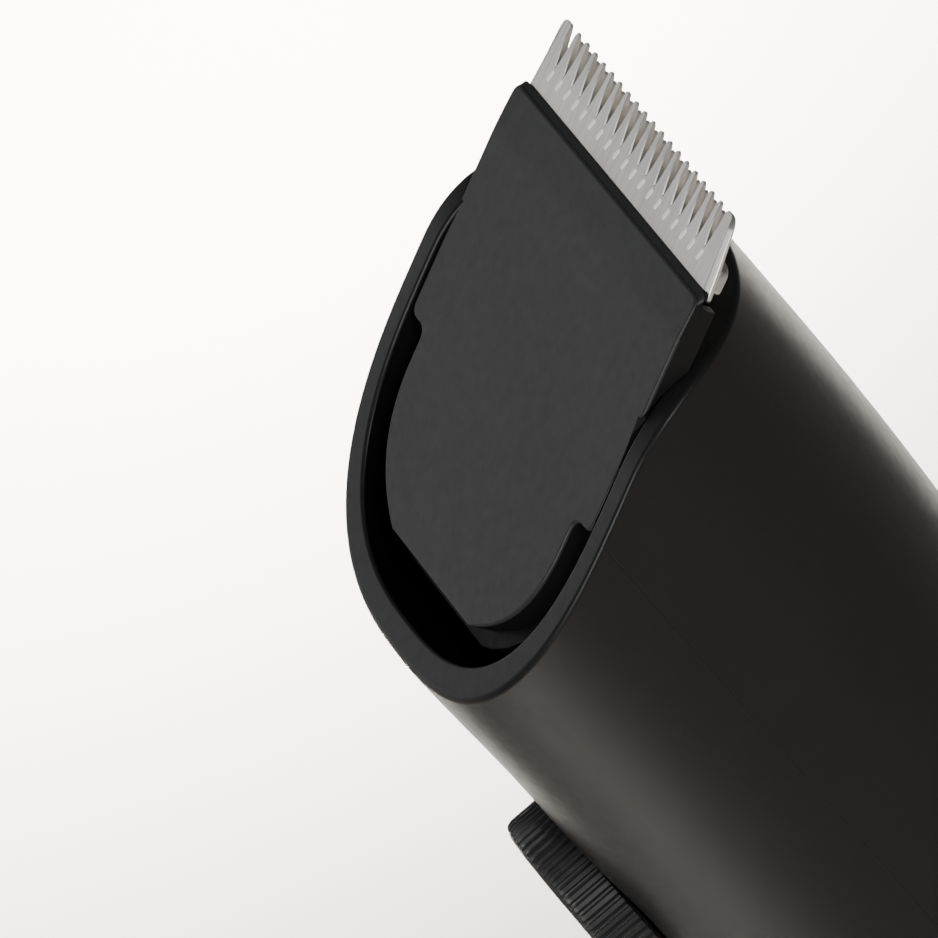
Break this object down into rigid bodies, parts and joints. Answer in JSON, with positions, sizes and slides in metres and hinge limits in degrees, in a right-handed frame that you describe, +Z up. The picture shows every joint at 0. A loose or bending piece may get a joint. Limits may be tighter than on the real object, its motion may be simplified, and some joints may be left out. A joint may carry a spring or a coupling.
{
  "type": "hair clipper",
  "caption": "Cordless hair clipper with a lift-off cutting head, a steel comb blade over a sliding cutter, an oblique body rim and a ribbed dial that raises the comb carriage.",
  "frame": {"origin": "middle of the base's flat face", "axes": "+Z up the body to the cutting head, -Y the front with the dial and the button, X across the blade"},
  "size_m": [0.048, 0.0511, 0.1797],
  "materials": {
    "case_plastic": "fine satin moulded black, slightly glossy at grazing angles",
    "head_plastic": "matte dark grey moulded plastic",
    "inner_plastic": "matte black moulded plastic",
    "dial_plastic": "satin black, ribbed",
    "blade_steel": "fine ground stainless steel",
    "spring_steel": "bright spring strip",
    "motor_steel": "drawn steel",
    "screw_steel": "nickel plated",
    "magnet": "sintered dark grey",
    "copper": "enamelled copper winding and sintered bronze",
    "cell_wrap": "shrink sleeve, plain blue",
    "board": "green solder mask",
    "rubber": "matte black rubber",
    "nylon": "natural white nylon",
    "lens": "translucent moulded light guide"
  },
  "bodies": {
    "housing": {"front_shell": "case_plastic", "rear_shell": "case_plastic", "base_cap": "case_plastic", "chassis": "inner_plastic", "chassis_screw_left": "screw_steel", "chassis_screw_right": "screw_steel", "motor_screw_left": "screw_steel", "motor_screw_right": "screw_steel", "case_screw_left": "screw_steel", "case_screw_right": "screw_steel", "motor_can": "motor_steel", "motor_bushing": "copper", "motor_end_bell": "nylon", "magnet_left": "magnet", "magnet_right": "magnet", "drive_seal": "rubber", "battery_cell": "cell_wrap", "battery_holder": "inner_plastic", "battery_tab_top": "screw_steel", "battery_tab_bottom": "screw_steel", "circuit_board": "board", "tact_switch": "inner_plastic", "indicator_led": "lens", "indicator_lens": "lens", "charge_socket": "screw_steel", "dial_detent": "spring_steel"},
    "cutting_head": {"head_cover": "head_plastic", "head_base": "inner_plastic", "fixed_blade": "blade_steel", "blade_spring_left": "spring_steel", "blade_spring_right": "spring_steel", "head_screw_left": "screw_steel", "head_screw_right": "screw_steel"},
    "moving_blade": {"cutter": "blade_steel", "blade_driver": "nylon"},
    "rotor": {"motor_shaft": "motor_steel", "armature": "copper", "eccentric_hub": "nylon", "drive_pin": "motor_steel"},
    "dial": {"dial_knob": "dial_plastic", "dial_shaft": "nylon", "dial_pinion": "nylon", "dial_clip": "spring_steel"},
    "comb_carriage": {"comb_carriage": "inner_plastic"},
    "power_button": {"power_button": "dial_plastic"}
  },
  "joints": [
    {"name": "head_lift", "type": "slide", "parent": "housing", "child": "cutting_head", "axis": [0, 0, 1], "range_m": [0, 0.03]},
    {"name": "blade_stroke", "type": "slide", "parent": "cutting_head", "child": "moving_blade", "axis": [1, 0, 0], "range_m": [-0.0009, 0.0009]},
    {"name": "rotor_spin", "type": "hinge", "parent": "housing", "child": "rotor", "pos_m": [0, 0.005, 0.12], "axis": [0, 0, 1], "continuous": true},
    {"name": "dial_turn", "type": "hinge", "parent": "housing", "child": "dial", "pos_m": [0, -0.0222, 0.1184], "axis": [0, -1, 0], "range_deg": [0, 143.24]},
    {"name": "carriage_rise", "type": "slide", "parent": "housing", "child": "comb_carriage", "axis": [0, 0, 1], "range_m": [0, 0.01401]},
    {"name": "button_press", "type": "slide", "parent": "housing", "child": "power_button", "axis": [0, 1, 0], "range_m": [0, 0.0007], "stiffness_N_per_m": 900}
  ],
  "couplings": [
    {"joint": "carriage_rise", "follows": "dial_turn", "m_per_rad": 0.0056}
  ]
}
